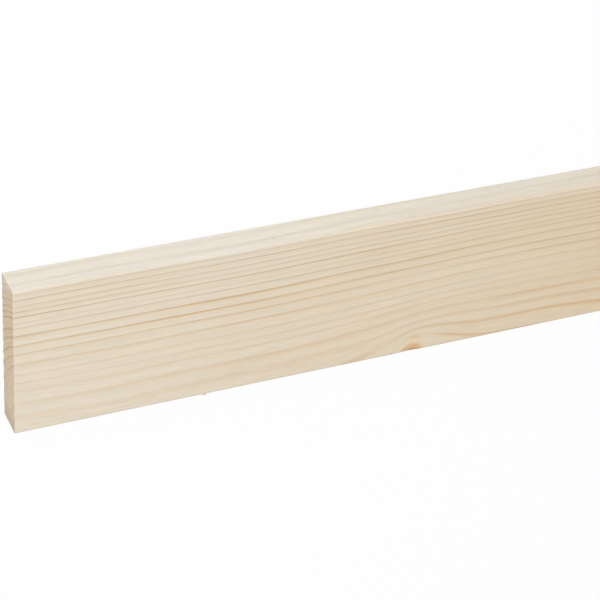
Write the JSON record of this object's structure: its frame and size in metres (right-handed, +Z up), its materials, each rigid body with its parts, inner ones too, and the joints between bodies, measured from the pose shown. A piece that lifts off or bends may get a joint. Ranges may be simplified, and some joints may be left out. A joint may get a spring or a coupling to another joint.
{
  "type": "planed timber strip",
  "caption": "Straight planed softwood strip of rectangular section, with lightly eased long arrises and square sawn ends, for trim, framing and shelving.",
  "frame": {"origin": "middle of the underside, the wide face that the strip lies on", "axes": "+X along the length and the grain, +Y across the width, +Z up through the thickness, out of the upper wide face"},
  "size_m": [1, 0.095, 0.02],
  "materials": {
    "timber": "planed and unfinished, matt"
  },
  "bodies": {
    "root": {"timber_strip": "timber"}
  },
  "joints": []
}
